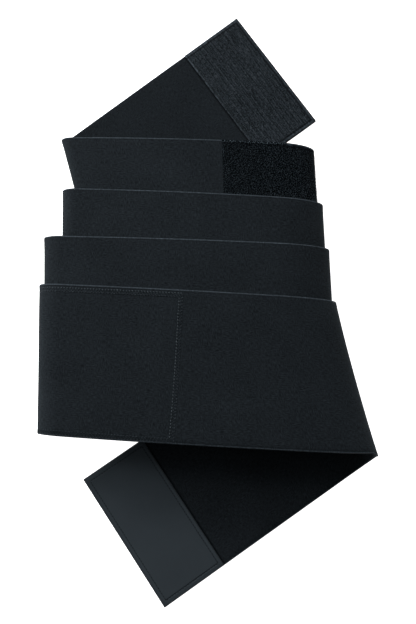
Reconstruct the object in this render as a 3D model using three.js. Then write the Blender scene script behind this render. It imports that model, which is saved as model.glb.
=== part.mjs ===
import * as THREE from "three";

// Millimetres, +Z up. The belt lies on z = 0, wound as a flat coil from its hook end to its tab end.
const bandThickness = 2;
const layerPitch = 3;
const drapeReach = 35;
const drawReach = 6;
const patchGap = 0.3;
const hookPatch = { length: 63, thickness: 1.2, inset: 0.4 };
const loopPatch = { start: 130, past: 25, thickness: 1.3, inset: 0.8 };
const tabPatch = { length: 61.6, thickness: 1.2, inset: 0.4 };
const acrossSteps = 6;
const rollSteps = 6;
const runSteps = 7;

// One row for each end and fold: middle of its edge, lean of the edge from +Y, band width there, how far the
// roll of the fold reaches into the layer before and after it, and how far those layers stay square with it.
// The slanted fold has three more: how far its edge bows in, how far the south edge of the layer before it
// draws in, and how far the layer after it slides south.
const foldTable = [
  { fold: "hook end", x: 64.5, y: 232.7, lean: 35.4, width: 127.8, before: 0, after: 0, square: 70 },
  { fold: "left 4", x: -115.6, y: 94.1, lean: 16.3, width: 127, before: 8, after: 10, square: 12 },
  { fold: "right 4", x: 95.8, y: 82.6, lean: 1.8, width: 127, before: 32, after: 18, square: 84 },
  { fold: "left 3", x: -129, y: 45.5, lean: 1.8, width: 127, before: 11, after: 13, square: 15 },
  { fold: "right 3", x: 103, y: 29.8, lean: 1.2, width: 127, before: 40, after: 23, square: 42 },
  { fold: "left 2", x: -143, y: 1.5, lean: 2.7, width: 127, before: 15, after: 17, square: 19 },
  { fold: "right 2", x: 107.3, y: -11.4, lean: 1.2, width: 127, before: 45, after: 26, square: 47 },
  { fold: "left 1", x: -146.5, y: -42.4, lean: 1.3, width: 128.8, before: 18, after: 20, square: 22 },
  {
    fold: "right 1", x: 126, y: -59.8, lean: 13.8, width: 127, before: 52, after: 30, square: 54,
    bow: 1.5, draw: 3, slide: 4.8,
  },
  { fold: "tab end", x: -72.4, y: -199.6, lean: 34.2, width: 127.6, before: 0, after: 0, square: 68 },
];

// One row for each layer between two rows above. A lap faces up, with the height of its middle surface at its
// left and right fold and the bow between them; a back layer rests on the back layers listed after it.
const layerTable = [
  { layer: "hook strip", lap: false },
  { layer: "lap 4", lap: true, left: 14.5, right: 28, bow: 5 },
  { layer: "back 3", lap: false },
  { layer: "lap 3", lap: true, left: 19.3, right: 34.8, bow: 5 },
  { layer: "back 2", lap: false },
  { layer: "lap 2", lap: true, left: 22.4, right: 38, bow: 5 },
  { layer: "back 1", lap: false },
  { layer: "lap 1", lap: true, left: 25.6, right: 41.6, bow: 5 },
  { layer: "tab strip", lap: false },
];

const radians = Math.PI / 180;

function mix(a, b, t) {
  return a + (b - a) * t;
}

function smooth(value) {
  const t = Math.min(Math.max(value, 0), 1);
  return t * t * (3 - 2 * t);
}

function headingOf(layer) {
  const from = foldTable[layer];
  const to = foldTable[layer + 1];
  return new THREE.Vector2(to.x - from.x, to.y - from.y).normalize();
}

// Half the length of a fold edge, so that the layers beside it keep the band's width.
function halfEdge(index) {
  const fold = foldTable[index];
  const edge = new THREE.Vector2(-Math.sin(fold.lean * radians), Math.cos(fold.lean * radians));
  let total = 0;
  let count = 0;
  for (const layer of [index - 1, index]) {
    if (layer >= 0 && layer < layerTable.length) {
      total += Math.abs(headingOf(layer).cross(edge));
      count += 1;
    }
  }
  return fold.width / 2 / (total / count);
}

const halfEdges = foldTable.map((fold, index) => halfEdge(index));

function edgePoint(index, side) {
  const fold = foldTable[index];
  const reach = halfEdges[index] * side;
  const bow = (fold.bow ?? 0) * (1 - side * side);
  return new THREE.Vector2(
    fold.x - Math.sin(fold.lean * radians) * reach - Math.cos(fold.lean * radians) * bow,
    fold.y + Math.cos(fold.lean * radians) * reach - Math.sin(fold.lean * radians) * bow,
  );
}

// How much of a roll's rise or fall is done at a distance from its fold.
function rollShare(gone, reach) {
  const near = Math.max(1 - gone / reach, 0);
  return Math.sqrt(1 - near * near);
}

// How far a layer has slid along the fold it starts from: it grows as the roll falls, then fades away.
function slidePoint(layer, distance, share) {
  const { lean, after, slide = 0 } = foldTable[layer];
  const slid = slide === 0 ? 0 : slide * rollShare(distance, after) * (1 - share);
  return new THREE.Vector2(Math.sin(lean * radians) * slid, -Math.cos(lean * radians) * slid);
}

// How far the south edge of a layer draws in on its way to the fold it ends at.
function drawPoint(layer, gone, share, side) {
  const { lean, draw = 0 } = foldTable[layer + 1];
  const drawn = draw * share * share * smooth(gone / drawReach) * (1 - side) / 2;
  return new THREE.Vector2(-Math.sin(lean * radians) * drawn, Math.cos(lean * radians) * drawn);
}

function layerLength(layer) {
  return edgePoint(layer, 0).distanceTo(edgePoint(layer + 1, 0));
}

// 1 on the strip of a layer, falling to 0 beside it over the drape reach.
function coverOf(layer, point) {
  const heading = headingOf(layer);
  const fold = foldTable[layer];
  const across = Math.abs(heading.x * (point.y - fold.y) - heading.y * (point.x - fold.x));
  const half = mix(fold.width, foldTable[layer + 1].width, 0.5) / 2;
  return 1 - smooth((across - half) / drapeReach);
}

function baseHeight(layer, along, point) {
  const row = layerTable[layer];
  if (row.lap) {
    return mix(row.left, row.right, along) + row.bow * Math.sin(Math.PI * along);
  }
  let height = bandThickness / 2;
  for (let below = layer + 2; below < layerTable.length; below += 2) {
    height += layerPitch * coverOf(below, point);
  }
  return height;
}

// Height of a fold's outermost line: midway between its two layers.
function foldHeight(index, side) {
  const point = edgePoint(index, side);
  const before = baseHeight(index - 1, 1, point);
  const after = baseHeight(index, 0, point);
  return (before + after) / 2;
}

function surfacePoint(layer, distance, side) {
  const length = layerLength(layer);
  const along = distance / length;
  const from = edgePoint(layer, side);
  const to = edgePoint(layer + 1, side);
  const sideLength = from.distanceTo(to);
  const squareStart = foldTable[layer].square;
  const squareEnd = length - foldTable[layer + 1].square;
  const turn = smooth((distance - squareStart) / (squareEnd - squareStart));
  const travel = distance + (sideLength - length) * turn;
  const share = travel / sideLength;
  const point = from.lerp(to, share).add(slidePoint(layer, distance, share));
  point.add(drawPoint(layer, length - distance, share, side));
  const base = baseHeight(layer, along, point);
  const reachStart = foldTable[layer].after;
  const reachEnd = foldTable[layer + 1].before;
  let height = base;
  if (distance < reachStart) {
    height = mix(foldHeight(layer, side), base, rollShare(distance, reachStart));
  } else if (length - distance < reachEnd) {
    height = mix(foldHeight(layer + 1, side), base, rollShare(length - distance, reachEnd));
  }
  return new THREE.Vector3(point.x, point.y, height);
}

// Distances along one layer, closer together in the rolls at its ends.
function layerStations(layer) {
  const length = layerLength(layer);
  const reachStart = foldTable[layer].after;
  const reachEnd = foldTable[layer + 1].before;
  const stations = [];
  for (let step = 0; step < rollSteps && reachStart > 0; step += 1) {
    stations.push(reachStart * (1 - Math.cos((step / rollSteps) * Math.PI / 2)));
  }
  for (let step = 0; step <= runSteps; step += 1) {
    stations.push(mix(reachStart, length - reachEnd, step / runSteps));
  }
  for (let step = rollSteps - 1; step >= 0 && reachEnd > 0; step -= 1) {
    stations.push(length - reachEnd * (1 - Math.cos((step / rollSteps) * Math.PI / 2)));
  }
  return stations;
}

function stationRange(first, last) {
  const list = [];
  for (let layer = first.layer; layer <= last.layer; layer += 1) {
    const from = layer === first.layer ? first.distance : 0;
    const to = layer === last.layer ? last.distance : layerLength(layer);
    const inner = layerStations(layer).filter((d) => d > from + 0.4 && d < to - 0.4);
    if (layer === first.layer) {
      list.push({ layer, distance: from });
    }
    for (const distance of inner) {
      list.push({ layer, distance });
    }
    list.push({ layer, distance: to });
  }
  return list;
}

// Points and outward normals of the middle surface, from the north edge to the south edge at each station.
function surfaceGrid(stations, inset) {
  const grid = [];
  for (let index = 0; index < stations.length; index += 1) {
    const row = [];
    const { layer, distance } = stations[index];
    const span = 2 * mix(halfEdges[layer], halfEdges[layer + 1], distance / layerLength(layer));
    for (let step = 0; step <= acrossSteps; step += 1) {
      const side = mix(1, -1, step / acrossSteps) * (1 - 2 * inset / span);
      row.push({ point: surfacePoint(layer, distance, side) });
    }
    grid.push(row);
  }
  for (let index = 0; index < grid.length; index += 1) {
    const back = grid[Math.max(index - 1, 0)];
    const ahead = grid[Math.min(index + 1, grid.length - 1)];
    for (let step = 0; step <= acrossSteps; step += 1) {
      const along = ahead[step].point.clone().sub(back[step].point);
      const north = grid[index][Math.max(step - 1, 0)].point;
      const south = grid[index][Math.min(step + 1, acrossSteps)].point;
      grid[index][step].normal = along.cross(north.clone().sub(south)).normalize();
    }
  }
  return grid;
}

// Closed wall between two offsets from the middle surface.
function wallGeometry(grid, low, high) {
  const rows = grid.length;
  const columns = acrossSteps + 1;
  const positions = [];
  for (const offset of [high, low]) {
    for (const row of grid) {
      for (const { point, normal } of row) {
        const place = point.clone().addScaledVector(normal, offset);
        positions.push(place.x, place.y, Math.max(place.z, 0));
      }
    }
  }
  const faces = [];
  const at = (sheet, row, column) => sheet * rows * columns + row * columns + column;
  const quad = (a, b, c, d) => faces.push(a, b, c, a, c, d);
  for (let row = 0; row + 1 < rows; row += 1) {
    for (let column = 0; column + 1 < columns; column += 1) {
      quad(at(0, row, column), at(0, row, column + 1), at(0, row + 1, column + 1), at(0, row + 1, column));
      quad(at(1, row, column), at(1, row + 1, column), at(1, row + 1, column + 1), at(1, row, column + 1));
    }
    quad(at(0, row, 0), at(0, row + 1, 0), at(1, row + 1, 0), at(1, row, 0));
    const end = columns - 1;
    quad(at(0, row, end), at(1, row, end), at(1, row + 1, end), at(0, row + 1, end));
  }
  for (let column = 0; column + 1 < columns; column += 1) {
    const last = rows - 1;
    quad(at(0, 0, column), at(1, 0, column), at(1, 0, column + 1), at(0, 0, column + 1));
    quad(at(0, last, column), at(0, last, column + 1), at(1, last, column + 1), at(1, last, column));
  }
  const geometry = new THREE.BufferGeometry();
  geometry.setAttribute("position", new THREE.Float32BufferAttribute(positions, 3));
  geometry.setIndex(faces);
  geometry.computeVertexNormals();
  return geometry;
}

function pieceMesh(name, geometry, colour, roughness) {
  const material = new THREE.MeshStandardMaterial({ color: colour, roughness });
  material.name = name;
  const mesh = new THREE.Mesh(geometry, material);
  mesh.name = name;
  return mesh;
}

const lastLayer = layerTable.length - 1;
const tabLength = layerLength(lastLayer);
const outer = bandThickness / 2 + patchGap;

const bandGrid = surfaceGrid(
  stationRange({ layer: 0, distance: 0 }, { layer: lastLayer, distance: tabLength }),
  0,
);
const hookGrid = surfaceGrid(
  stationRange({ layer: 0, distance: hookPatch.inset }, { layer: 0, distance: hookPatch.length }),
  hookPatch.inset,
);
const foldAfter = foldTable[2].after;
const loopGrid = surfaceGrid(
  stationRange(
    { layer: 1, distance: loopPatch.start },
    { layer: 2, distance: foldAfter * (1 - Math.cos(loopPatch.past * radians)) },
  ),
  loopPatch.inset,
);
const tabGrid = surfaceGrid(
  stationRange(
    { layer: lastLayer, distance: tabLength - tabPatch.length },
    { layer: lastLayer, distance: tabLength - tabPatch.inset },
  ),
  tabPatch.inset,
);

const belt = new THREE.Group();
belt.name = "waist_trimmer_belt";
const bandWall = wallGeometry(bandGrid, -bandThickness / 2, bandThickness / 2);
const hookWall = wallGeometry(hookGrid, -outer - hookPatch.thickness, -outer);
const loopWall = wallGeometry(loopGrid, outer, outer + loopPatch.thickness);
const tabWall = wallGeometry(tabGrid, -outer - tabPatch.thickness, -outer);
belt.add(pieceMesh("elastic_band", bandWall, 0x1e2225, 0.9));
belt.add(pieceMesh("hook_patch", hookWall, 0x26292c, 0.7));
belt.add(pieceMesh("loop_patch", loopWall, 0x101316, 0.95));
belt.add(pieceMesh("end_tab", tabWall, 0x2a2e31, 0.6));

const box = new THREE.Box3().setFromObject(belt);
const middle = box.getCenter(new THREE.Vector3());
for (const mesh of belt.children) {
  mesh.geometry.translate(-middle.x, -middle.y, 0);
}

export default belt;
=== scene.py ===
import math

import bpy
import numpy as np
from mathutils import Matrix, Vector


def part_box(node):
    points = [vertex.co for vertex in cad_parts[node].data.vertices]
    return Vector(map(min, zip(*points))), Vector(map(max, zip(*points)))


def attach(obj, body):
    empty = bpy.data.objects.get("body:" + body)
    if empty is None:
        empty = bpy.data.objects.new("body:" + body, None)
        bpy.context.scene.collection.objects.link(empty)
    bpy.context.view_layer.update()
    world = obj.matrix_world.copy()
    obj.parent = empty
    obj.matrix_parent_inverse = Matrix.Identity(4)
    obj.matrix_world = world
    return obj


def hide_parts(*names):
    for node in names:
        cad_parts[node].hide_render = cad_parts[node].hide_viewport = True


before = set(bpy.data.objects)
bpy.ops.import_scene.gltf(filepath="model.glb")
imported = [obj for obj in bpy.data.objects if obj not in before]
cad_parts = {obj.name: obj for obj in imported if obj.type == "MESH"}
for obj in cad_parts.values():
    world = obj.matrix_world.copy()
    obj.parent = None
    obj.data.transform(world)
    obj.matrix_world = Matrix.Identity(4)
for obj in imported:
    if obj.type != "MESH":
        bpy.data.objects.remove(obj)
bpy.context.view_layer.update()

print("frame loaded:", sorted(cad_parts))

# everything below is worked out in millimetres and set down in metres
band = {
    "width": 127.0,
    "thickness": 2.0,
    "pitch": 3.0,  # rise of a back layer where it lies on another
    "drape": 35.0,  # how far beside a layer the next one sinks to the floor
    "selvedge": 0.14,  # extra half thickness of the bead along both edges
    "beadReach": 2.4,
    "wave": 0.12,  # slow unevenness of the cloth
    "floorGap": 0.02,
    "runStep": 3.5,
    "rollSteps": 14,
    "columns": 30,
    "normalColumns": 12,
    "drawReach": 6.0,  # how near its fold a drawn edge comes back to it
    # one row for each end and fold: edge middle, lean, width, roll before and after, square length, and for
    # the slanted fold how far its edge bows, the south edge before it draws in and the layer after it slides
    "folds": [
        dict(x=64.5, y=232.7, lean=35.4, width=127.8, before=0, after=0, square=70),
        dict(x=-115.6, y=94.1, lean=16.3, width=127, before=8, after=10, square=12),
        dict(x=95.8, y=82.6, lean=1.8, width=127, before=32, after=18, square=84),
        dict(x=-129, y=45.5, lean=1.8, width=127, before=11, after=13, square=15),
        dict(x=103, y=29.8, lean=1.2, width=127, before=40, after=23, square=42),
        dict(x=-143, y=1.5, lean=2.7, width=127, before=15, after=17, square=19),
        dict(x=107.3, y=-11.4, lean=1.2, width=127, before=45, after=26, square=47),
        dict(x=-146.5, y=-42.4, lean=1.3, width=128.8, before=18, after=20, square=22),
        dict(
            x=126, y=-59.8, lean=13.8, width=127, before=52, after=30, square=54,
            bow=1.5, draw=3.0, slide=4.8),
        dict(x=-72.4, y=-199.6, lean=34.2, width=127.6, before=0, after=0, square=68),
    ],
    # one row for each layer: a lap has heights at its left and right fold and a bow, a back layer drapes
    "layers": [
        None,
        dict(left=14.5, right=28, bow=5),
        None,
        dict(left=19.3, right=34.8, bow=5),
        None,
        dict(left=22.4, right=38, bow=5),
        None,
        dict(left=25.6, right=41.6, bow=5),
        None,
    ],
}
folds = band["folds"]
layers = band["layers"]
lastLayer = len(layers) - 1
rng = np.random.default_rng(41)


# place across the band, in millimetres from its middle, as a side from 1 to -1
def sideOf(across):
    return across * 2 / band["width"]


def easeStep(value):
    t = np.clip(value, 0, 1)
    return t * t * (3 - 2 * t)


def layerHeading(k):
    way = np.array([folds[k + 1]["x"] - folds[k]["x"], folds[k + 1]["y"] - folds[k]["y"]], float)
    return way / np.linalg.norm(way)


def edgeWay(i):
    lean = math.radians(folds[i]["lean"])
    return np.array([-math.sin(lean), math.cos(lean)])


def halfEdge(i):
    edge = edgeWay(i)
    sines = []
    for k in (i - 1, i):
        if 0 <= k <= lastLayer:
            way = layerHeading(k)
            sines.append(abs(way[0] * edge[1] - way[1] * edge[0]))
    return folds[i]["width"] / 2 / (sum(sines) / len(sines))


halfEdges = [halfEdge(i) for i in range(len(folds))]


def edgePoint(i, side):
    side = np.asarray(side, float)
    middle = np.array([folds[i]["x"], folds[i]["y"]], float)
    edge = edgeWay(i)
    inward = np.array([-edge[1], edge[0]])
    bow = folds[i].get("bow", 0) * (1 - side * side)
    return middle + (halfEdges[i] * side)[..., None] * edge + bow[..., None] * inward


def layerLength(k):
    return float(np.linalg.norm(edgePoint(k + 1, 0) - edgePoint(k, 0)))


# how much of a roll's rise or fall is done so far from its fold
def rollShare(gone, reach):
    near = np.clip(1 - gone / reach, 0, 1)
    return np.sqrt(1 - near * near)


# slip of a layer along the fold it starts from: it grows as the roll falls, and is none at the far end
def slidePoint(k, distance, share):
    slide = folds[k].get("slide", 0)
    if not slide:
        return 0
    slid = slide * rollShare(distance, folds[k]["after"]) * (1 - share)
    return -slid[..., None] * edgeWay(k)


# draw of a layer's south edge towards the north, more and more up to the fold that it ends at
def drawPoint(k, gone, share, side):
    draw = folds[k + 1].get("draw", 0)
    drawn = draw * share * share * easeStep(gone / band["drawReach"]) * (1 - side) / 2
    return drawn[..., None] * edgeWay(k + 1)


def coverOf(k, plan):
    way = layerHeading(k)
    across = np.abs(way[0] * (plan[..., 1] - folds[k]["y"]) - way[1] * (plan[..., 0] - folds[k]["x"]))
    half = (folds[k]["width"] + folds[k + 1]["width"]) / 4
    return 1 - easeStep((across - half) / band["drape"])


def baseHeight(k, along, plan):
    row = layers[k]
    if row:
        flat = row["left"] + (row["right"] - row["left"]) * along
        return flat + row["bow"] * np.sin(np.pi * along) + 0 * plan[..., 0]
    height = np.full(plan.shape[:-1], band["thickness"] / 2)
    for below in range(k + 2, lastLayer + 1, 2):
        height = height + band["pitch"] * coverOf(below, plan)
    return height


def foldHeight(i, side):
    plan = edgePoint(i, side)
    return (baseHeight(i - 1, 1.0, plan) + baseHeight(i, 0.0, plan)) / 2


def rollHeight(base, middle, gone, reach):
    return middle + (base - middle) * rollShare(gone, reach)


# middle surface of the band: layer number, distance along it, side from 1 (north) to -1
def surfacePoint(k, distance, side):
    distance, side = np.broadcast_arrays(np.asarray(distance, float), np.asarray(side, float))
    length = layerLength(k)
    start = edgePoint(k, side)
    end = edgePoint(k + 1, side)
    sideLength = np.linalg.norm(end - start, axis=-1)
    first = folds[k]["square"]
    last = length - folds[k + 1]["square"]
    travel = distance + (sideLength - length) * easeStep((distance - first) / (last - first))
    share = travel / sideLength
    plan = start + (end - start) * share[..., None]
    plan = plan + slidePoint(k, distance, share) + drawPoint(k, length - distance, share, side)
    base = baseHeight(k, distance / length, plan)
    height = base
    after = folds[k]["after"]
    before = folds[k + 1]["before"]
    if after:
        height = np.where(distance < after, rollHeight(base, foldHeight(k, side), distance, after), height)
    if before:
        gone = length - distance
        height = np.where(gone < before, rollHeight(base, foldHeight(k + 1, side), gone, before), height)
    return np.concatenate([plan, height[..., None]], axis=-1)


def layerStations(k):
    length = layerLength(k)
    after = folds[k]["after"]
    before = folds[k + 1]["before"]
    steps = band["rollSteps"]
    quarter = np.arange(steps) / steps * math.pi / 2
    parts = []
    if after:
        parts.append(after * (1 - np.cos(quarter)))
    runs = max(int((length - after - before) / band["runStep"]), 2)
    parts.append(np.linspace(after, length - before, runs + 1))
    if before:
        parts.append((length - before * (1 - np.cos(quarter)))[::-1])
    return np.concatenate(parts)


def stationRange(firstLayer, firstDistance, endLayer, endDistance):
    rows = [(firstLayer, firstDistance)]
    for k in range(firstLayer, endLayer + 1):
        low = firstDistance if k == firstLayer else 0
        high = endDistance if k == endLayer else layerLength(k)
        rows += [(k, d) for d in layerStations(k) if low + 0.3 < d < high - 0.3]
        rows.append((k, high))
    return rows


def gridNormals(points):
    along = np.empty_like(points)
    along[1:-1] = points[2:] - points[:-2]
    along[0] = points[1] - points[0]
    along[-1] = points[-1] - points[-2]
    north = np.empty_like(points)
    north[:, 1:-1] = points[:, :-2] - points[:, 2:]
    north[:, 0] = points[:, 0] - points[:, 1]
    north[:, -1] = points[:, -2] - points[:, -1]
    normal = np.cross(along, north)
    return normal / np.linalg.norm(normal, axis=-1, keepdims=True)


# point, outward normal, way along and way north at any places of one layer
def bandFrame(k, distance, side):
    distance = np.asarray(distance, float)
    point = surfacePoint(k, distance, side)
    ahead = np.minimum(distance + 0.15, layerLength(k))
    back = np.maximum(distance - 0.15, 0)
    along = surfacePoint(k, ahead, side) - surfacePoint(k, back, side)
    along /= np.linalg.norm(along, axis=-1, keepdims=True)
    side = np.asarray(side)
    north = surfacePoint(k, distance, side + 0.01) - surfacePoint(k, distance, side - 0.01)
    normal = np.cross(along, north)
    normal /= np.linalg.norm(normal, axis=-1, keepdims=True)
    north = np.cross(normal, along)
    return point, normal, along, north


def slowWave(x, y, seed):
    source = np.random.default_rng(seed)
    total = 0
    for size in (160, 90, 55, 33):
        turn = source.uniform(0, 6.28)
        shift = source.uniform(0, 6.28)
        total = total + np.sin((x * math.cos(turn) + y * math.sin(turn)) / size * 6.28 + shift) * size / 160
    return total / 2


def makeMesh(name, points, faces, clothXY=None, smooth=True):
    mesh = bpy.data.meshes.new(name)
    mesh.from_pydata((points / 1000).tolist(), [], faces)
    if clothXY is not None:
        layer = mesh.uv_layers.new(name="cloth")
        corner = np.empty(len(mesh.loops), np.int32)
        mesh.loops.foreach_get("vertex_index", corner)
        layer.data.foreach_set("uv", (clothXY[corner] / 1000).astype(np.float32).ravel())
    mesh.polygons.foreach_set("use_smooth", np.full(len(mesh.polygons), smooth))
    mesh.update()
    piece = bpy.data.objects.new(name, mesh)
    bpy.context.scene.collection.objects.link(piece)
    return piece


def runLength(line):
    return np.concatenate([[0], np.cumsum(np.linalg.norm(np.diff(line, axis=0), axis=1))])


# closed cloth wall: a ring of (across, off) pairs swept along the stations
def sweepCloth(name, stations, ring, flip=1.0, wave=0.0, seed=3):
    across = np.array([r[0] for r in ring])
    sides = sideOf(across)
    offs = np.array([r[1] for r in ring]) * flip
    points = np.stack([surfacePoint(k, np.full(len(sides), d), sides) for k, d in stations])
    gaps = band["normalColumns"]
    columns = np.linspace(1, -1, gaps + 1)
    smoothGrid = np.stack([surfacePoint(k, np.full(gaps + 1, d), columns) for k, d in stations])
    normals = gridNormals(smoothGrid)
    place = (1 - np.clip(sides, -1, 1)) / 2 * gaps
    low = np.clip(place.astype(int), 0, gaps - 1)
    share = (place - low)[None, :, None]
    normal = normals[:, low] * (1 - share) + normals[:, low + 1] * share
    normal /= np.linalg.norm(normal, axis=-1, keepdims=True)
    run = runLength(smoothGrid[:, gaps // 2])
    lift = wave * slowWave(run[:, None], across[None, :], seed)
    points = points + normal * (offs[None, :] + lift)[..., None]
    points[..., 2] = np.maximum(points[..., 2], band["floorGap"])
    rows, count = points.shape[:2]
    faces = []
    for i in range(rows - 1):
        for j in range(count):
            n = (j + 1) % count
            quad = (i * count + j, i * count + n, (i + 1) * count + n, (i + 1) * count + j)
            faces.append(quad if flip > 0 else quad[::-1])
    first = tuple(range(count))
    last = tuple((rows - 1) * count + j for j in range(count))
    faces.append(first[::-1] if flip > 0 else first)
    faces.append(last if flip > 0 else last[::-1])
    clothXY = np.stack(np.broadcast_arrays(run[:, None], across[None, :]), axis=-1).reshape(-1, 2)
    piece = makeMesh(name, points.reshape(-1, 3), faces, clothXY)
    outer = np.array([r[1] > 0 for r in ring], np.float32)
    layer = piece.data.attributes.new("outerFace", "FLOAT", "POINT")
    layer.data.foreach_set("value", np.tile(outer, rows))
    return piece, run


# ring of a flat strip with round edges, from its north edge over the outer face and back underneath
def stripRing(width, low, high, columns, bead=0.0, edgeSteps=5):
    radius = (high - low) / 2
    centre = (high + low) / 2
    flat = width / 2 - radius
    ring = []
    for a in np.linspace(flat, -flat, columns):
        swell = bead * (1 - easeStep((flat - abs(a)) / band["beadReach"]))
        ring.append((a, high + swell))
    for turn in np.linspace(0, math.pi, edgeSteps + 2)[1:-1]:
        ring.append((-flat - radius * math.sin(turn), centre + (radius + bead) * math.cos(turn)))
    for a in np.linspace(-flat, flat, columns):
        swell = bead * (1 - easeStep((flat - abs(a)) / band["beadReach"]))
        ring.append((a, low - swell))
    for turn in np.linspace(math.pi, 0, edgeSteps + 2)[1:-1]:
        ring.append((flat + radius * math.sin(turn), centre + (radius + bead) * math.cos(turn)))
    return ring


# copies of one small form, each with its own three axes, in one mesh
def scatter(name, form, formFaces, origins, xWays, yWays, zWays, clothXY=None):
    points = (
        origins[:, None]
        + form[None, :, 0:1] * xWays[:, None]
        + form[None, :, 1:2] * yWays[:, None]
        + form[None, :, 2:3] * zWays[:, None]
    )
    count = len(form)
    faces = []
    for first in range(0, len(origins) * count, count):
        faces += [[first + corner for corner in face] for face in formFaces]
    if clothXY is not None:
        clothXY = np.repeat(clothXY, count, axis=0)
    return makeMesh(name, points.reshape(-1, 3), faces, clothXY)


def tubeForm(path, radii, sides):
    path = np.array(path, float)
    points = []
    for i, p in enumerate(path):
        way = path[min(i + 1, len(path) - 1)] - path[max(i - 1, 0)]
        way /= np.linalg.norm(way)
        out = np.array([0.0, 1.0, 0.0])
        up = np.cross(way, out)
        for s in range(sides):
            turn = 2 * math.pi * s / sides
            points.append(p + radii[i] * (math.cos(turn) * out + math.sin(turn) * up))
    faces = []
    for i in range(len(path) - 1):
        for s in range(sides):
            n = (s + 1) % sides
            faces.append((i * sides + s, i * sides + n, (i + 1) * sides + n, (i + 1) * sides + s))
    faces.append(tuple(range(sides))[::-1])
    faces.append(tuple(range(len(points) - sides, len(points))))
    return np.array(points), faces


allStations = stationRange(0, 0.0, lastLayer, layerLength(lastLayer))
bandHalf = band["thickness"] / 2
bandRing = stripRing(band["width"], -bandHalf, bandHalf, band["columns"], band["selvedge"])
bandPiece, bandRun = sweepCloth("elasticBand", allStations, bandRing, wave=band["wave"], seed=8)
bandPoints = np.array([v.co for v in bandPiece.data.vertices])
nodeLow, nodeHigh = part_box("elastic_band")
shift = (np.array(nodeLow) + np.array(nodeHigh)) / 2 - (bandPoints.min(0) + bandPoints.max(0)) / 2
shift[2] = 0
print("band:", len(bandPiece.data.polygons), "faces, shift", shift.round(5).tolist())


def runAt(k, distance):
    rows = [i for i, s in enumerate(allStations) if s[0] == k]
    spans = [allStations[i][1] for i in rows]
    return float(np.interp(distance, spans, bandRun[rows]))


# sewn patches, all heights counted from the middle of the band's wall
seat = {"under": 1.15, "from": 1.3, "columns": 26}
hookPatch = {
    "length": 63.0, "width": 126.0, "thickness": 1.2, "inset": 0.4, "firstRow": 5.9, "rowPitch": 2.295,
    "border": 2.7, "endBorder": 3.2, "northBorder": 3.5, "innerBorder": 2.4,  # sewn line from the edges
}
loopPatch = {"start": 130.0, "width": 125.8, "past": 1.6, "thickness": 1.3}
gripTab = {
    "length": 61.6, "width": 126.2, "thickness": 1.2, "inset": 0.4, "wave": 0.06,
    "border": 4.4, "innerShift": 1.2,  # the sewn line is nearer the edge at the tab's inner end
}


def patchRing(patch):
    return stripRing(patch["width"], seat["under"], seat["from"] + patch["thickness"], seat["columns"])


hookStations = stationRange(0, hookPatch["inset"], 0, hookPatch["length"])
hookPiece, hookRun = sweepCloth("hookTape", hookStations, patchRing(hookPatch), flip=-1.0, seed=5)
loopStations = stationRange(1, loopPatch["start"], 2, loopPatch["past"])
loopPiece, loopRun = sweepCloth("loopPile", loopStations, patchRing(loopPatch), seed=6)
tabEnd = layerLength(lastLayer)
tabStart = tabEnd - gripTab["length"]
tabStations = stationRange(lastLayer, tabStart, lastLayer, tabEnd - gripTab["inset"])
tabPiece, tabRun = sweepCloth(
    "gripTab", tabStations, patchRing(gripTab), flip=-1.0, wave=gripTab["wave"], seed=7)
print("patches:", len(hookPiece.data.polygons), len(loopPiece.data.polygons), len(tabPiece.data.polygons))

# rows of small hooks on the tape
hooks = {
    "alongPitch": 1.2, "endRoom": 2.0, "sideRoom": 1.6, "rowShake": 0.16, "spotShake": 0.25, "sides": 5,
    "path": [(0, 0, -0.1), (0.02, 0, 0.45), (0.14, 0, 0.72), (0.36, 0, 0.78), (0.5, 0, 0.6)],
    "radii": [0.2, 0.17, 0.16, 0.14, 0.09],
}
hookForm, hookFaces = tubeForm(hooks["path"], hooks["radii"], hooks["sides"])
rowPlaces = np.arange(hookPatch["firstRow"], hookPatch["length"] - hooks["endRoom"], hookPatch["rowPitch"])
rowReach = hookPatch["width"] / 2 - hooks["sideRoom"]
spots = np.arange(hookPatch["border"] - rowReach, rowReach - hookPatch["northBorder"], hooks["alongPitch"])
gridD, gridA = np.meshgrid(rowPlaces, spots, indexing="ij")
gridD = gridD.ravel() + rng.normal(0, hooks["rowShake"], gridD.size)
gridA = gridA.ravel() + rng.normal(0, hooks["spotShake"], gridA.size)
hp, hn, hAlong, hNorth = bandFrame(0, gridD, sideOf(gridA))
lean = rng.choice([-1.0, 1.0], gridD.size)[:, None]
hookField = scatter(
    "hookField", hookForm, hookFaces, hp - hn * (seat["from"] + hookPatch["thickness"]),
    hNorth * lean, hAlong, -hn, np.stack([gridD, gridA], axis=1))
print("hooks:", len(gridD))

# loose loops of pile, standing at all angles
pile = {
    "radius": 0.125, "rise": 0.68, "spread": 0.5, "sink": 0.08, "bends": 4, "sides": 3, "seat": 1.25,
    "step": 1.05, "shake": 0.3, "first": 0.6, "south": -62.5, "north": 62.4,
    "tip": 0.45, "smallest": 0.7, "largest": 1.35,
}
arcTurns = np.linspace(math.pi, 0, pile["bends"])
arcPath = [(pile["spread"] * math.cos(t), 0, pile["rise"] * math.sin(t) - pile["sink"]) for t in arcTurns]
arcForm, arcFaces = tubeForm(arcPath, [pile["radius"]] * pile["bends"], pile["sides"])
pileRun = np.linspace(0, layerLength(1) - loopPatch["start"], 200) + loopPatch["start"]
pileLine = surfacePoint(1, pileRun, np.zeros(200))
pileLength = runLength(pileLine)
loopRows = np.arange(pile["first"], pileLength[-1], pile["step"])
loopColumns = np.arange(pile["south"], pile["north"], pile["step"])
loopAlong, loopAcross = (grid.ravel() for grid in np.meshgrid(loopRows, loopColumns, indexing="ij"))
loopCount = loopAlong.size
loopAlong = loopAlong + rng.normal(0, pile["shake"], loopCount)
loopAcross = loopAcross + rng.normal(0, pile["shake"], loopCount)
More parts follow.
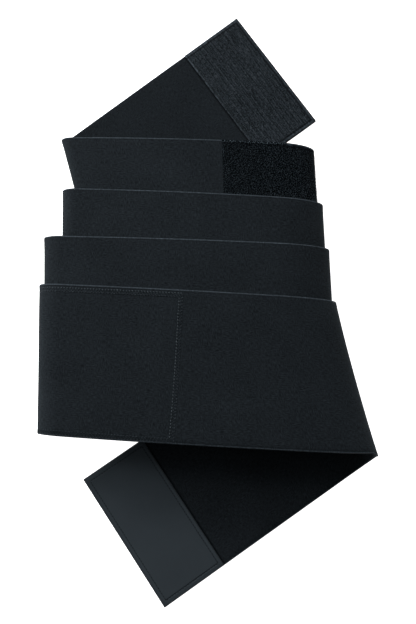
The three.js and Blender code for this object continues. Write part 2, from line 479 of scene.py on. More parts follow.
lp, ln, lAlong, lNorth = bandFrame(1, np.interp(loopAlong, pileLength, pileRun), sideOf(loopAcross))
turn = rng.uniform(0, 2 * math.pi, loopCount)[:, None]
tip = rng.normal(0, pile["tip"], (loopCount, 2))
xWay = np.cos(turn) * lAlong + np.sin(turn) * lNorth
yWay = np.cross(ln, xWay)
up = ln + tip[:, :1] * xWay + tip[:, 1:] * yWay
up /= np.linalg.norm(up, axis=1, keepdims=True)
size = rng.uniform(pile["smallest"], pile["largest"], (loopCount, 1))
pileField = scatter(
    "pileLoops", arcForm, arcFaces, lp + ln * (pile["seat"] + loopPatch["thickness"]),
    xWay * size, yWay, up * size, np.stack([loopAlong, loopAcross], axis=1))
print("pile loops:", loopCount)

# stitch rows: short rounded lengths of thread, half sunk in the cloth
thread = {
    "pitch": 2.58, "fill": 0.52, "radius": 0.36, "bold": 1.25, "bridge": 0.17, "hole": 0.3, "shake": 0.06,
    "patchLift": 1.2, "sides": 6,
    "bead": [(-0.5, 0.3), (-0.38, 0.8), (-0.15, 1.0), (0.15, 1.0), (0.38, 0.8), (0.5, 0.3)],
}
beadPath = [(a, 0, 0) for a, r in thread["bead"]]
stitchForm, stitchFaces = tubeForm(beadPath, [r for a, r in thread["bead"]], thread["sides"])


# even points of a straight row from one (distance, across) place to another, and the layer's normal there
def rowPoints(k, start, end, lift, flip, count=None):
    t = np.linspace(0, 1, 400)
    d = start[0] + (end[0] - start[0]) * t
    side = sideOf(start[1] + (end[1] - start[1]) * t)
    run = runLength(surfacePoint(k, d, side))
    count = count or max(int(run[-1] / thread["pitch"]), 2)
    even = np.linspace(0, run[-1], count + 1)
    point, normal, along, north = bandFrame(k, np.interp(even, run, d), np.interp(even, run, side))
    return point + normal * flip * lift, normal * flip


def threadPiece(name, runs):
    fromPoint, toPoint, normal, radius = (np.concatenate([r[i] for r in runs]) for i in range(4))
    way = toPoint - fromPoint
    cross = np.cross(normal, way)
    cross /= np.linalg.norm(cross, axis=1, keepdims=True)
    jitter = rng.normal(0, thread["shake"], (len(way), 1))
    middle = (fromPoint + toPoint) / 2 + cross * jitter
    return scatter(name, stitchForm, stitchFaces, middle, way, cross * radius, normal * radius)


def needleRow(k, start, end, lift, flip, runs, radius):
    point, normal = rowPoints(k, start, end, lift, flip)
    count = len(point) - 1
    share = (1 - thread["fill"]) / 2
    first = point[:-1] * (1 - share) + point[1:] * share
    last = point[:-1] * share + point[1:] * (1 - share)
    runs.append((first, last, normal[:-1], np.full((count, 1), radius)))


# painted shade in the needle holes: short dark lengths between the stitches of a row
def holeShadeRow(k, start, end, lift, flip, runs):
    point, normal = rowPoints(k, start, end, lift, flip)
    count = len(point) - 1
    step = (point[1:] - point[:-1]) * thread["hole"] / 2
    runs.append((point[:-1] - step, point[:-1] + step, normal[:-1], np.full((count, 1), thread["radius"])))


# thread that crosses between two rows, to and fro
def bridgeRow(k, rowA, rowB, lift, flip, runs):
    near, normal = rowPoints(k, rowA[0], rowA[1], lift, flip)
    count = len(near) - 1
    far, other = rowPoints(k, rowB[0], rowB[1], lift, flip, count)
    size = np.full((count, 1), thread["bridge"])
    runs.append((near[:-1], far[:-1], normal[:-1], size))
    runs.append((far[:-1], near[1:], normal[:-1], size))


# sewn panel on the front lap: the upright inner row and the top outer row show bright, the bottom rows faint
panel = {
    "layer": 7, "middle": 119.7, "slant": 0.199, "north": 57.0, "south": -59.0, "gap": 3.1, "start": 1.0,
    "lift": 1.05, "holeSink": 0.12,
}


def panelPlace(across, out):
    return (panel["middle"] + panel["slant"] * across + out, across)


# the upright, top and bottom row of one of the panel's two outlines
def panelRows(out):
    north = panel["north"] + out
    south = panel["south"] - out
    return [
        (panelPlace(north, out), panelPlace(south, out)),
        ((panel["start"], north), panelPlace(north, out)),
        ((panel["start"], south), panelPlace(south, out)),
    ]


innerRows = panelRows(0)
outerRows = panelRows(panel["gap"])
brightRuns = []
greyRuns = []
faintRuns = []
holeShadeRuns = []
rowLooks = [
    (brightRuns, greyRuns, greyRuns),
    (greyRuns, brightRuns, greyRuns),
    (faintRuns, faintRuns, faintRuns),
]
for inner, outer, (innerLook, outerLook, bridgeLook) in zip(innerRows, outerRows, rowLooks):
    needleRow(panel["layer"], *inner, panel["lift"], 1, innerLook, thread["radius"] * thread["bold"])
    needleRow(panel["layer"], *outer, panel["lift"], 1, outerLook, thread["radius"])
    bridgeRow(panel["layer"], inner, outer, panel["lift"], 1, bridgeLook)
# painted shade in the needle holes of the upright inner row and both top rows
for row in (innerRows[0], innerRows[1], outerRows[1]):
    holeShadeRow(panel["layer"], *row, panel["lift"] - panel["holeSink"], 1, holeShadeRuns)
panelStitches = threadPiece("panelStitches", brightRuns)
panelBridges = threadPiece("panelBridges", greyRuns)
panelHems = threadPiece("panelHems", faintRuns)
panelHoleShade = threadPiece("panelHoleShade", holeShadeRuns)


# one row of stitches round a patch
def borderStitches(name, k, low, high, south, north, lift):
    runs = []
    corners = [(low, south), (low, north), (high, north), (high, south)]
    for start, end in zip(corners, corners[1:] + corners[:1]):
        needleRow(k, start, end, lift, -1, runs, thread["radius"])
    return threadPiece(name, runs)


hookStitches = borderStitches(
    "hookStitches", 0, hookPatch["inset"] + hookPatch["endBorder"],
    hookPatch["length"] - hookPatch["innerBorder"], hookPatch["border"] - hookPatch["width"] / 2,
    hookPatch["width"] / 2 - hookPatch["northBorder"], thread["patchLift"] + hookPatch["thickness"])
tabStitches = borderStitches(
    "tabStitches", lastLayer, tabStart + gripTab["border"] - gripTab["innerShift"],
    tabEnd - gripTab["inset"] - gripTab["border"], gripTab["border"] - gripTab["width"] / 2,
    gripTab["width"] / 2 - gripTab["border"], thread["patchLift"] + gripTab["thickness"])


def newMaterial(name):
    material = bpy.data.materials.new(name)
    material.use_nodes = True
    tree = material.node_tree
    return material, tree, tree.nodes["Principled BSDF"]


def addNode(tree, kind, place, **values):
    node = tree.nodes.new(kind)
    node.location = place
    for key, value in values.items():
        setattr(node, key, value)
    return node


def addMath(tree, kind, place, a, b=None, clamp=False):
    node = addNode(tree, "ShaderNodeMath", place, operation=kind, use_clamp=clamp)
    for socket, value in zip(node.inputs, (a, b)):
        if value is None:
            continue
        if hasattr(value, "links"):
            tree.links.new(value, socket)
        else:
            socket.default_value = value
    return node.outputs[0]


def product(tree, place, first, *others):
    result = first
    for i, other in enumerate(others):
        result = addMath(tree, "MULTIPLY", (place[0] + 150 * i, place[1]), result, other)
    return result


def newGroup(name, inputs, outputs):
    group = bpy.data.node_groups.new(name, "ShaderNodeTree")
    for label, kind, value in inputs:
        socket = group.interface.new_socket(label, in_out="INPUT", socket_type=kind)
        if value is not None:
            socket.default_value = value
    for label, kind in outputs:
        group.interface.new_socket(label, in_out="OUTPUT", socket_type=kind)
    start = addNode(group, "NodeGroupInput", (-900, 0))
    end = addNode(group, "NodeGroupOutput", (900, 0))
    return group, start, end


def noiseAt(tree, vector, place, alongScale, acrossScale, detail=2.0):
    stretch = addNode(tree, "ShaderNodeMapping", place)
    stretch.inputs["Scale"].default_value = (alongScale, acrossScale, alongScale)
    tree.links.new(vector, stretch.inputs["Vector"])
    noise = addNode(tree, "ShaderNodeTexNoise", (place[0] + 200, place[1]))
    noise.inputs["Scale"].default_value = 1.0
    noise.inputs["Detail"].default_value = detail
    tree.links.new(stretch.outputs[0], noise.inputs["Vector"])
    return addMath(tree, "SUBTRACT", (place[0] + 400, place[1]), noise.outputs["Fac"], 0.5)


# cloth grain: rows of yarn in a brick order, broken by short slubs both ways, over a slow drift
def yarnGroup():
    group, start, end = newGroup(
        "yarnGrain",
        [("Cloth", "NodeSocketVector", None), ("Yarn Along", "NodeSocketFloat", 0.001),
         ("Yarn Across", "NodeSocketFloat", 0.001), ("Slubs", "NodeSocketFloat", 1.0),
         ("Drift", "NodeSocketFloat", 0.4)],
        [("Height", "NodeSocketFloat"), ("Tone", "NodeSocketFloat")])
    link = group.links.new
    cloth = start.outputs["Cloth"]
    split = addNode(group, "ShaderNodeSeparateXYZ", (-700, 0))
    link(cloth, split.inputs[0])
    across = addMath(group, "DIVIDE", (-500, -100), split.outputs[1], start.outputs["Yarn Across"])
    row = addMath(group, "FLOOR", (-350, -200), across)
    odd = addMath(group, "PINGPONG", (-200, -200), row, 1.0)
    halfStep = addMath(group, "MULTIPLY", (-50, -200), odd, 0.5)
    along = addMath(group, "DIVIDE", (-500, 100), split.outputs[0], start.outputs["Yarn Along"])
    shifted = addMath(group, "ADD", (-350, 100), along, halfStep)
    waveA = addMath(group, "SINE", (-50, 100), addMath(group, "MULTIPLY", (-200, 100), shifted, 2 * math.pi))
    acrossTurn = addMath(group, "MULTIPLY", (-200, -50), across, math.pi)
    waveB = addMath(group, "ABSOLUTE", (100, -50), addMath(group, "SINE", (-50, -50), acrossTurn))
    bump = addMath(group, "ADD", (250, 100), addMath(group, "MULTIPLY", (100, 100), waveA, 0.35), waveB)
    lengthSlub = noiseAt(group, cloth, (-700, -400), 340, 1150)
    crossSlub = noiseAt(group, cloth, (-700, -700), 1150, 340)
    slow = noiseAt(group, cloth, (-700, -1000), 22, 22, 4.0)
    patches = noiseAt(group, cloth, (-700, -1300), 110, 110)
    patchy = addMath(group, "MULTIPLY", (-150, -1300), patches, 4.0)
    sway = addMath(group, "ADD", (0, -1300), patchy, 0.5, clamp=True)
    turned = addMath(group, "SUBTRACT", (-150, -500), lengthSlub, crossSlub)
    slubs = addMath(group, "ADD", (100, -500), crossSlub, addMath(group, "MULTIPLY", (0, -600), turned, sway))
    scaled = addMath(group, "MULTIPLY", (150, -500), slubs, start.outputs["Slubs"])
    relief = addMath(group, "MULTIPLY", (300, -200), scaled, 0.25)
    link(addMath(group, "ADD", (450, 0), bump, relief), end.inputs["Height"])
    drift = addMath(group, "MULTIPLY", (150, -900), slow, start.outputs["Drift"])
    both = addMath(group, "ADD", (350, -600), scaled, drift)
    toned = addMath(group, "ADD", (500, -600), both, 1.0)
    link(addMath(group, "MAXIMUM", (650, -600), toned, 0.3), end.inputs["Tone"])
    return group


# seam round a sewn shape: 1 along the stitch line, and 1 on the rim outside it
def seamGroup():
    group, start, end = newGroup(
        "seamLine",
        [("Cloth", "NodeSocketVector", None), ("Low", "NodeSocketVector", None),
         ("High", "NodeSocketVector", None), ("Width", "NodeSocketFloat", 0.0006),
         ("Slant", "NodeSocketFloat", 0.0)],
        [("Groove", "NodeSocketFloat"), ("Rim", "NodeSocketFloat")])
    link = group.links.new
    parts = addNode(group, "ShaderNodeSeparateXYZ", (-800, 0))
    link(start.outputs["Cloth"], parts.inputs[0])
    lean = addMath(group, "MULTIPLY", (-700, 200), parts.outputs[1], start.outputs["Slant"])
    upright = addMath(group, "SUBTRACT", (-600, 300), parts.outputs[0], lean)
    place = addNode(group, "ShaderNodeCombineXYZ", (-500, 200))
    link(upright, place.inputs[0])
    link(parts.outputs[1], place.inputs[1])
    fromLow = addNode(group, "ShaderNodeVectorMath", (-350, 150), operation="SUBTRACT")
    link(place.outputs[0], fromLow.inputs[0])
    link(start.outputs["Low"], fromLow.inputs[1])
    toHigh = addNode(group, "ShaderNodeVectorMath", (-350, -150), operation="SUBTRACT")
    link(start.outputs["High"], toHigh.inputs[0])
    link(place.outputs[0], toHigh.inputs[1])
    a = addNode(group, "ShaderNodeSeparateXYZ", (-200, 150))
    link(fromLow.outputs[0], a.inputs[0])
    b = addNode(group, "ShaderNodeSeparateXYZ", (-200, -150))
    link(toHigh.outputs[0], b.inputs[0])
    along = addMath(group, "MINIMUM", (-50, 150), a.outputs[0], b.outputs[0])
    across = addMath(group, "MINIMUM", (-50, -150), a.outputs[1], b.outputs[1])
    inside = addMath(group, "MINIMUM", (100, 0), along, across)
    offLine = addMath(group, "ABSOLUTE", (250, 0), inside)
    away = addMath(group, "DIVIDE", (400, 0), offLine, start.outputs["Width"])
    link(addMath(group, "SUBTRACT", (600, 0), 1.0, away, clamp=True), end.inputs["Groove"])
    link(addMath(group, "LESS_THAN", (600, -200), inside, 0.0), end.inputs["Rim"])
    return group


# specks of light and dark on strands, loops and hooks
def speckGroup():
    group, start, end = newGroup(
        "strandSpeck",
        [("Place", "NodeSocketVector", None), ("Scale", "NodeSocketFloat", 600.0),
         ("Dark", "NodeSocketFloat", 0.3), ("Light", "NodeSocketFloat", 2.0)],
        [("Height", "NodeSocketFloat"), ("Tone", "NodeSocketFloat")])
    link = group.links.new
    speck = addNode(group, "ShaderNodeTexNoise", (-400, 0))
    speck.inputs["Detail"].default_value = 1
    link(start.outputs["Place"], speck.inputs["Vector"])
    link(start.outputs["Scale"], speck.inputs["Scale"])
    spread = addNode(group, "ShaderNodeMapRange", (0, 0))
    spread.inputs["From Min"].default_value = 0.36
    spread.inputs["From Max"].default_value = 0.68
    link(start.outputs["Dark"], spread.inputs["To Min"])
    link(start.outputs["Light"], spread.inputs["To Max"])
    link(speck.outputs["Fac"], spread.inputs["Value"])
    link(speck.outputs["Fac"], end.inputs["Height"])
    link(spread.outputs[0], end.inputs["Tone"])
    return group


# light and dark rows that run across the hook tape
def rowGroup():
    group, start, end = newGroup(
        "tapeRows",
        [("Cloth", "NodeSocketVector", None), ("First", "NodeSocketFloat", 0.0),
         ("Pitch", "NodeSocketFloat", 0.005), ("Depth", "NodeSocketFloat", 0.1)],
        [("Tone", "NodeSocketFloat")])
    split = addNode(group, "ShaderNodeSeparateXYZ", (-700, 0))
    group.links.new(start.outputs["Cloth"], split.inputs[0])
    fromFirst = addMath(group, "SUBTRACT", (-500, 0), split.outputs[0], start.outputs["First"])
    turns = addMath(group, "DIVIDE", (-350, 0), fromFirst, start.outputs["Pitch"])
    wave = addMath(group, "COSINE", (-50, 0), addMath(group, "MULTIPLY", (-200, 0), turns, 2 * math.pi))
    uneven = noiseAt(group, start.outputs["Cloth"], (-700, -300), 75, 45)
    patches = addMath(group, "MULTIPLY", (-50, -300), uneven, 7.0)
    strength = addMath(group, "MAXIMUM", (250, -300), addMath(group, "ADD", (100, -300), patches, 1.0), 0.0)
    depth = product(group, (100, 0), wave, start.outputs["Depth"], strength)
    group.links.new(addMath(group, "ADD", (300, 0), depth, 1.0), end.inputs["Tone"])
    return group


yarnGrain = yarnGroup()
seamLine = seamGroup()
strandSpeck = speckGroup()
tapeRows = rowGroup()


def clothInput(tree):
    return addNode(tree, "ShaderNodeUVMap", (-1200, 0), uv_map="cloth").outputs[0]


def placeGroup(tree, group, place, **values):
    node = addNode(tree, "ShaderNodeGroup", place, node_tree=group)
    for key, value in values.items():
        socket = node.inputs[key.replace("_", " ")]
        if hasattr(value, "links"):
            tree.links.new(value, socket)
        else:
            socket.default_value = value
    return node


def tinted(tree, colour, tone, place):
    node = addNode(tree, "ShaderNodeVectorMath", place, operation="SCALE")
    node.inputs[0].default_value = colour
    tree.links.new(tone, node.inputs["Scale"])
    return node.outputs[0]


def bumpFrom(tree, height, look, place):
    node = addNode(tree, "ShaderNodeBump", place)
    node.inputs["Distance"].default_value = look["relief"]
    node.inputs["Strength"].default_value = look["reliefShare"]
    tree.links.new(height, node.inputs["Height"])
    return node.outputs[0]


# 1 plus amount times a mask, to brighten or darken with
def gain(tree, mask, amount, place):
    part = addMath(tree, "MULTIPLY", place, mask, amount)
    return addMath(tree, "ADD", (place[0] + 150, place[1]), 1.0, part)


def roughFrom(tree, tone, rough, place):
    ease = addMath(tree, "MULTIPLY", place, tone, -0.05)
    return addMath(tree, "ADD", (place[0] + 150, place[1]), ease, rough + 0.05, clamp=True)


# all the cloths share one cool tint of gloss
def setGloss(shader, specular):
    shader.inputs["Specular IOR Level"].default_value = specular
    shader.inputs["Specular Tint"].default_value = elastic["gloss"]


# painted light across the selvedge: painted shade outermost, a painted highlight along the bead, a faint
# painted shade groove, then plain cloth
def selvedgeLightAndShade(tree, cloth, place):
    split = addNode(tree, "ShaderNodeSeparateXYZ", place)
    tree.links.new(cloth, split.inputs[0])
    size = addMath(tree, "ABSOLUTE", (place[0] + 150, place[1]), split.outputs[1])
    reach = elastic["selvedgeReach"]
    fromEdge = addMath(tree, "SUBTRACT", (place[0] + 300, place[1]), band["width"] / 2000, size)
    share = addMath(tree, "DIVIDE", (place[0] + 450, place[1]), fromEdge, reach / 1000, clamp=True)
    ramp = addNode(tree, "ShaderNodeValToRGB", (place[0] + 600, place[1]))
    tree.links.new(share, ramp.inputs[0])
    stops = elastic["selvedge"]
    while len(ramp.color_ramp.elements) < len(stops):
        ramp.color_ramp.elements.new(0.5)
    for element, (where, tone) in zip(ramp.color_ramp.elements, stops):
        element.position = where / reach
        element.color = (tone, tone, tone, 1)
    return ramp.outputs[0]


elastic = {
    "colour": (0.0120, 0.0151, 0.0180), "rough": 0.9, "specular": 0.07, "sheen": 0.03, "sheenRough": 0.5,
    "gloss": (0.68, 0.87, 1.0, 1),
    "yarn": dict(Yarn_Along=0.0012, Yarn_Across=0.00062, Slubs=2.9, Drift=0.6),
    # painted highlight along the selvedge bead and painted shade at the very edge and inside the bead, as (mm
    # from the edge, tone)
    "selvedge": [(0.0, 0.5), (0.35, 0.65), (0.6, 3.2), (1.1, 3.0), (1.55, 0.7), (2.4, 0.85), (3.2, 1.0)],
    "selvedgeReach": 4.0,
    "innerFace": 0.86, "seamShade": -0.16, "seamWidth": 0.0034, "seamSink": 1.6,
    "patchShade": -0.7, "hookEdgeShade": 0.0017, "tabEdgeShade": 0.0014,  # shade beside the sewn patches
    "relief": 0.00016, "reliefShare": 0.5,
}


def elasticMaterial():
    material, tree, shader = newMaterial("knitElastic")
    link = tree.links.new
    cloth = clothInput(tree)
    yarn = placeGroup(tree, yarnGrain, (-900, 100), Cloth=cloth, **elastic["yarn"])
    # painted highlight and shade across the selvedge
    edge = selvedgeLightAndShade(tree, cloth, (-1000, -300))
    between = panel["gap"] / 2
    upright = runAt(panel["layer"], panel["middle"])
    low = ((runAt(panel["layer"], 0) - 60) / 1000, (panel["south"] - between) / 1000, 0)
    high = ((upright + between) / 1000, (panel["north"] + between) / 1000, 0)
    seam = placeGroup(
        tree, seamLine, (-900, -600), Cloth=cloth, Low=low, High=high, Width=elastic["seamWidth"],
        Slant=panel["slant"])
    # painted shadow on the band along the inner edges of the hook patch and the grip tab
    hookEdgeShade = placeGroup(
        tree, seamLine, (-900, -850), Cloth=cloth, Low=(-0.02, -0.07, 0),
        High=((hookPatch["length"] + 0.5) / 1000, 0.07, 0), Width=elastic["hookEdgeShade"])
    tabEdgeShade = placeGroup(
        tree, seamLine, (-900, -1100), Cloth=cloth,
        Low=((bandRun[-1] - gripTab["length"] - 0.5) / 1000, -0.07, 0),
        High=((bandRun[-1] + 20) / 1000, 0.07, 0), Width=elastic["tabEdgeShade"])
    face = addNode(tree, "ShaderNodeAttribute", (-900, -1350), attribute_name="outerFace").outputs["Fac"]
    faceGain = addMath(
        tree, "ADD", (-550, -1350), elastic["innerFace"],
        addMath(tree, "MULTIPLY", (-700, -1350), face, 1 - elastic["innerFace"]))
    edgeShades = addMath(tree, "MAXIMUM", (-650, -950), hookEdgeShade.outputs["Groove"], tabEdgeShade.outputs["Groove"])
    tone = product(
        tree, (-200, 0), yarn.outputs["Tone"], edge, faceGain,
        gain(tree, seam.outputs["Groove"], elastic["seamShade"], (-650, -600)),
        gain(tree, edgeShades, elastic["patchShade"], (-450, -950)))
    link(tinted(tree, elastic["colour"], tone, (500, 0)), shader.inputs["Base Color"])
    link(roughFrom(tree, yarn.outputs["Tone"], elastic["rough"], (200, 200)), shader.inputs["Roughness"])
    height = addMath(
        tree, "SUBTRACT", (200, -300), yarn.outputs["Height"],
        addMath(tree, "MULTIPLY", (0, -400), seam.outputs["Groove"], elastic["seamSink"]))
    link(bumpFrom(tree, height, elastic, (350, -300)), shader.inputs["Normal"])
    setGloss(shader, elastic["specular"])
    shader.inputs["Sheen Weight"].default_value = elastic["sheen"]
    shader.inputs["Sheen Roughness"].default_value = elastic["sheenRough"]
    shader.inputs["Sheen Tint"].default_value = elastic["gloss"]
    return material


tape = {
    "colour": (0.0204, 0.0254, 0.0301), "rough": 0.7, "specular": 0.03, "darkest": 0.12,
    "yarn": dict(Yarn_Along=0.0019, Yarn_Across=0.0016, Slubs=4.2, Drift=-0.7),
    "streak": 2.4, "streakSize": (800, 50), "streakRise": 3.0, "grain": 2.3, "grainSize": (640, 300),
    "rows": 0.11, "rim": 0.9, "groove": -0.9, "grooveWidth": 0.0015, "grooveSink": 0.8,
    # painted highlight along the tape's inner edge
    "innerEdgeHighlight": 1.4, "innerWidth": 0.0009, "relief": 0.0002, "reliefShare": 0.6,
}


def placeRows(tree, cloth, place):
    return placeGroup(
        tree, tapeRows, place, Cloth=cloth, First=(hookPatch["firstRow"] + hookPatch["rowPitch"]) / 1000,
        Pitch=hookPatch["rowPitch"] * 2 / 1000, Depth=tape["rows"]).outputs["Tone"]


def tapeMaterial():
    material, tree, shader = newMaterial("hookTapeWeave")
    link = tree.links.new
    cloth = clothInput(tree)
    yarn = placeGroup(tree, yarnGrain, (-900, 100), Cloth=cloth, **tape["yarn"])
    border = hookPatch["border"] / 1000
    half = hookPatch["width"] / 2000
    end = (hookPatch["length"] - hookPatch["inset"]) / 1000
    seam = placeGroup(
        tree, seamLine, (-900, -200), Cloth=cloth, Low=(hookPatch["endBorder"] / 1000, border - half, 0),
        High=(end + 0.02, half - hookPatch["northBorder"] / 1000, 0), Width=tape["grooveWidth"])
    # painted highlight where the tape's raised inner edge catches the light
    innerEdgeHighlight = placeGroup(
        tree, seamLine, (-900, -800), Cloth=cloth, Low=(-0.02, -0.08, 0), High=(end - 0.0004, 0.08, 0),
        Width=tape["innerWidth"])
    streak = noiseAt(tree, cloth, (-900, -500), *tape["streakSize"])
    grain = noiseAt(tree, cloth, (-900, -1100), *tape["grainSize"])
    tone = product(
        tree, (-100, 0), yarn.outputs["Tone"], gain(tree, streak, tape["streak"], (-400, -500)),
        gain(tree, grain, tape["grain"], (-400, -1100)), placeRows(tree, cloth, (-900, -1400)),
        gain(tree, seam.outputs["Groove"], tape["groove"], (-600, -200)),
        gain(tree, seam.outputs["Rim"], tape["rim"], (-600, -350)),
        gain(tree, innerEdgeHighlight.outputs["Groove"], tape["innerEdgeHighlight"], (-600, -800)))
    tone = addMath(tree, "MAXIMUM", (250, 0), tone, tape["darkest"])
    link(tinted(tree, tape["colour"], tone, (400, 0)), shader.inputs["Base Color"])
    raised = addMath(tree, "MULTIPLY", (-150, -500), streak, tape["streakRise"])
    ridges = addMath(tree, "ADD", (0, -400), yarn.outputs["Height"], raised)
    sunk = addMath(tree, "MULTIPLY", (0, -550), seam.outputs["Groove"], tape["grooveSink"])
    height = addMath(tree, "SUBTRACT", (150, -300), ridges, sunk)
    link(bumpFrom(tree, height, tape, (350, -300)), shader.inputs["Normal"])
    link(roughFrom(tree, yarn.outputs["Tone"], tape["rough"], (100, 200)), shader.inputs["Roughness"])
    setGloss(shader, tape["specular"])
    return material


strand = {"gloss": 0.2, "relief": 0.0003, "reliefShare": 0.5}


def speckMaterial(name, look, shade=None):
    material, tree, shader = newMaterial(name)
    link = tree.links.new
    place = addNode(tree, "ShaderNodeTexCoord", (-1200, 0)).outputs["Object"]
    speck = placeGroup(
        tree, strandSpeck, (-900, 0), Place=place, Scale=look["scale"],
        Dark=look["dark"], Light=look["light"])
    tone = speck.outputs["Tone"]
    if shade:
        tone = product(tree, (-600, 0), tone, *shade(tree, clothInput(tree)))
    link(tinted(tree, look["colour"], tone, (-350, 0)), shader.inputs["Base Color"])
    ease = addMath(tree, "MULTIPLY", (-500, 200), speck.outputs["Height"], strand["gloss"])
    link(addMath(tree, "SUBTRACT", (-350, 200), look["rough"], ease), shader.inputs["Roughness"])
    link(bumpFrom(tree, speck.outputs["Height"], strand, (-350, -250)), shader.inputs["Normal"])
    setGloss(shader, look["specular"])
    return material


# pile looks; a painted highlight runs along the pile's north edge, with a painted shade line under it
fluff = {
    "ground": dict(
        colour=(0.0026, 0.0036, 0.0045), scale=900, dark=0.3, light=2.4, rough=1.0, specular=0.02),
    "strand": dict(
        colour=(0.0138, 0.0178, 0.0212), scale=1000, dark=0.02, light=5.6, rough=1.0, specular=0.03),
    # painted highlight on the loops along the north edge, and a painted shade line just inside it
    "rim": 5.0, "underRimShade": -0.85, "rimLine": 60.3, "rimWidth": 0.002,
}
hookStem = dict(colour=(0.0200, 0.0245, 0.0295), scale=640, dark=0.1, light=4.4, rough=0.7, specular=0.08)


# hooks of the same row are alike
def stemShade(tree, cloth):
    return [placeRows(tree, cloth, (-900, -500))]


# painted highlight on the pile's north edge and painted shade under it
def pileEdgeLightAndShade(tree, cloth):
    seam = placeGroup(
        tree, seamLine, (-900, -500), Cloth=cloth, Low=(-1, -1, 0), High=(1, fluff["rimLine"] / 1000, 0),
        Width=fluff["rimWidth"])
    return [
        gain(tree, seam.outputs["Rim"], fluff["rim"], (-700, -500)),
        gain(tree, seam.outputs["Groove"], fluff["underRimShade"], (-700, -650)),
    ]


threadLooks = {
    "light": dict(colour=(0.058, 0.071, 0.081), scale=900, dark=0.6, light=1.4, rough=0.7, specular=0.2),
    "grey": dict(colour=(0.0255, 0.0320, 0.0380), scale=900, dark=0.5, light=1.5, rough=0.75, specular=0.15),
    "faint": dict(colour=(0.0185, 0.0235, 0.0280), scale=900, dark=0.5, light=1.5, rough=0.75, specular=0.15),
    # the dark thread also paints the shade in the panel's needle holes
    "dark": dict(colour=(0.0045, 0.0058, 0.0068), scale=900, dark=0.5, light=1.6, rough=0.75, specular=0.15),
}
grip = {
    "colour": (0.0318, 0.0392, 0.0456), "rough": 0.6, "specular": 0.15,
    "yarn": dict(Yarn_Along=0.0006, Yarn_Across=0.0006, Slubs=0.12, Drift=0.4), "grain": 0.2,
    "rim": 0.06, "groove": -0.2, "grooveWidth": 0.0008, "grooveSink": 3.0,
    "relief": 0.0002, "reliefShare": 0.5,
}


def gripMaterial():
    material, tree, shader = newMaterial("smoothGrip")
    link = tree.links.new
    cloth = clothInput(tree)
    yarn = placeGroup(tree, yarnGrain, (-900, 100), Cloth=cloth, **grip["yarn"])
    border = gripTab["border"] / 1000
    half = gripTab["width"] / 2000
    low = (border - gripTab["innerShift"] / 1000, border - half, 0)
    high = ((gripTab["length"] - gripTab["inset"]) / 1000 - border, half - border, 0)
    seam = placeGroup(
        tree, seamLine, (-900, -200), Cloth=cloth, Low=low, High=high, Width=grip["grooveWidth"])
    tone = product(
        tree, (-100, 0), yarn.outputs["Tone"],
        gain(tree, seam.outputs["Groove"], grip["groove"], (-600, -200)),
        gain(tree, seam.outputs["Rim"], grip["rim"], (-600, -350)))
    link(tinted(tree, grip["colour"], tone, (300, 0)), shader.inputs["Base Color"])
    grain = addMath(tree, "MULTIPLY", (-250, -400), yarn.outputs["Height"], grip["grain"])
    sunk = addMath(tree, "MULTIPLY", (-100, -500), seam.outputs["Groove"], grip["grooveSink"])
    height = addMath(tree, "SUBTRACT", (50, -300), grain, sunk)
    link(bumpFrom(tree, height, grip, (250, -300)), shader.inputs["Normal"])
    link(roughFrom(tree, yarn.outputs["Tone"], grip["rough"], (100, 200)), shader.inputs["Roughness"])
    setGloss(shader, grip["specular"])
    return material


elasticLook = elasticMaterial()
tapeLook = tapeMaterial()
gripLook = gripMaterial()
stemLook = speckMaterial("hookStems", hookStem, stemShade)
pileLook = speckMaterial("pileGround", fluff["ground"])
strandLook = speckMaterial("pileStrand", fluff["strand"], pileEdgeLightAndShade)
threads = {name: speckMaterial(name + "Thread", look) for name, look in threadLooks.items()}
looks = [
    (bandPiece, elasticLook, "elastic", ["elastic_band"]),
    (panelStitches, threads["light"], "elastic", []),
    (panelBridges, threads["grey"], "elastic", []),
    (panelHems, threads["faint"], "elastic", []),
    (panelHoleShade, threads["dark"], "elastic", []),
    (hookPiece, tapeLook, "hook_tape", ["hook_patch"]),
    (hookField, stemLook, "hook_tape", []),
    (hookStitches, threads["dark"], "hook_tape", []),
    (loopPiece, pileLook, "loop_pile", ["loop_patch"]),
    (pileField, strandLook, "loop_pile", []),
    (tabPiece, gripLook, "grip_tab", ["end_tab"]),
    (tabStitches, threads["dark"], "grip_tab", []),
]
for piece, look, slotName, nodes in looks:
    count = len(piece.data.vertices)
    place = np.empty(count * 3, np.float32)
    piece.data.vertices.foreach_get("co", place)
    piece.data.vertices.foreach_set("co", (place.reshape(-1, 3) + shift.astype(np.float32)).ravel())
    piece.data.update()
    piece.data.materials.append(look)
    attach(piece, "root")
    if nodes:
        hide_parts(*nodes)
print("materials set")



floorLook = {
    "size": 8, "cells": 8, "colour": (0.92, 0.92, 0.92, 1), "rough": 0.9,
    "glow": 1.3, "glowColour": (1, 1, 1, 1),
}
bpy.ops.mesh.primitive_grid_add(
    x_subdivisions=floorLook["cells"], y_subdivisions=floorLook["cells"], size=floorLook["size"],
    location=(0, 0, 0))
floor = bpy.context.object
floor.name = "paleFloor"
material, tree, shader = newMaterial("paleFloor")
shader.inputs["Base Color"].default_value = floorLook["colour"]
shader.inputs["Roughness"].default_value = floorLook["rough"]
shader.inputs["Specular IOR Level"].default_value = 0.0
shader.inputs["Emission Color"].default_value = floorLook["glowColour"]
shader.inputs["Emission Strength"].default_value = floorLook["glow"]
floor.data.materials.append(material)

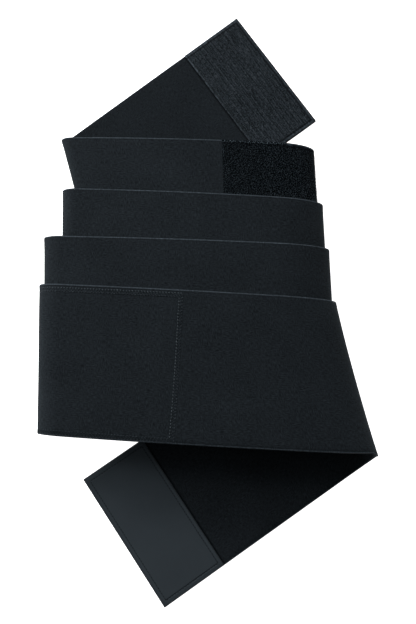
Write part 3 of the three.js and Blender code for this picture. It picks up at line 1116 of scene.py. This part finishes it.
# soft light from behind on the left, some of it low, and a little from above
lights = {
    "key": dict(bearing=38, rise=36.5, away=2.5, size=(1.4, 1.48), power=49.0),
    "low": dict(bearing=38, rise=19.5, away=2.5, size=(1.25, 0.32), power=45.0),
    "over": dict(bearing=38, rise=85, away=1.5, size=(0.9, 0.9), power=2.2),
    "side": dict(bearing=-82, rise=9, away=2.0, size=(1.2, 0.4), power=2.5),
}
for name, row in lights.items():
    data = bpy.data.lights.new(name, "AREA")
    data.shape = "RECTANGLE"
    data.size, data.size_y = row["size"]
    data.energy = row["power"]
    lamp = bpy.data.objects.new(name, data)
    bearing = math.radians(row["bearing"])
    rise = math.radians(row["rise"])
    way = np.array([-math.sin(bearing) * math.cos(rise), math.cos(bearing) * math.cos(rise), math.sin(rise)])
    lamp.location = (row["away"] * way).tolist()
    lamp.rotation_euler = (-lamp.location).to_track_quat("-Z", "Y").to_euler()
    bpy.context.scene.collection.objects.link(lamp)

# faint light from all round, with a pale backdrop where the room itself is seen
room = {"colour": (1, 1, 1, 1), "fill": 0.07, "backdrop": 0.94}
world = bpy.data.worlds.new("softRoom")
world.use_nodes = True
tree = world.node_tree
fill = tree.nodes["Background"]
backdrop = addNode(tree, "ShaderNodeBackground", (0, 100))
for node, strength in ((fill, room["fill"]), (backdrop, room["backdrop"])):
    node.inputs["Color"].default_value = room["colour"]
    node.inputs["Strength"].default_value = strength
choose = addNode(tree, "ShaderNodeMixShader", (200, 300))
seen = addNode(tree, "ShaderNodeLightPath", (0, 500))
tree.links.new(seen.outputs["Is Camera Ray"], choose.inputs[0])
tree.links.new(fill.outputs[0], choose.inputs[1])
tree.links.new(backdrop.outputs[0], choose.inputs[2])
tree.links.new(choose.outputs[0], tree.nodes["World Output"].inputs["Surface"])
bpy.context.scene.world = world
bpy.context.scene.view_settings.view_transform = "Standard"

# lens and stand of the photograph: 600 px focal length in a 416 x 624 frame
eye = {"tilt": 7.6, "away": 541.7, "focalPx": 600.0, "longSidePx": 624.0, "sensor": 36}
tilt = math.radians(eye["tilt"])
cameraData = bpy.data.cameras.new("photoEye")
cameraData.sensor_width = eye["sensor"]
cameraData.lens = eye["focalPx"] / eye["longSidePx"] * eye["sensor"]
cameraData.clip_start = 0.01
camera = bpy.data.objects.new("photoEye", cameraData)
stand = np.array([0, -eye["away"] * math.sin(tilt), eye["away"] * math.cos(tilt)]) / 1000 + shift
camera.location = stand.tolist()
camera.rotation_euler = (tilt, 0, 0)
bpy.context.scene.collection.objects.link(camera)
bpy.context.scene.camera = camera
print("stage, lights and camera set")
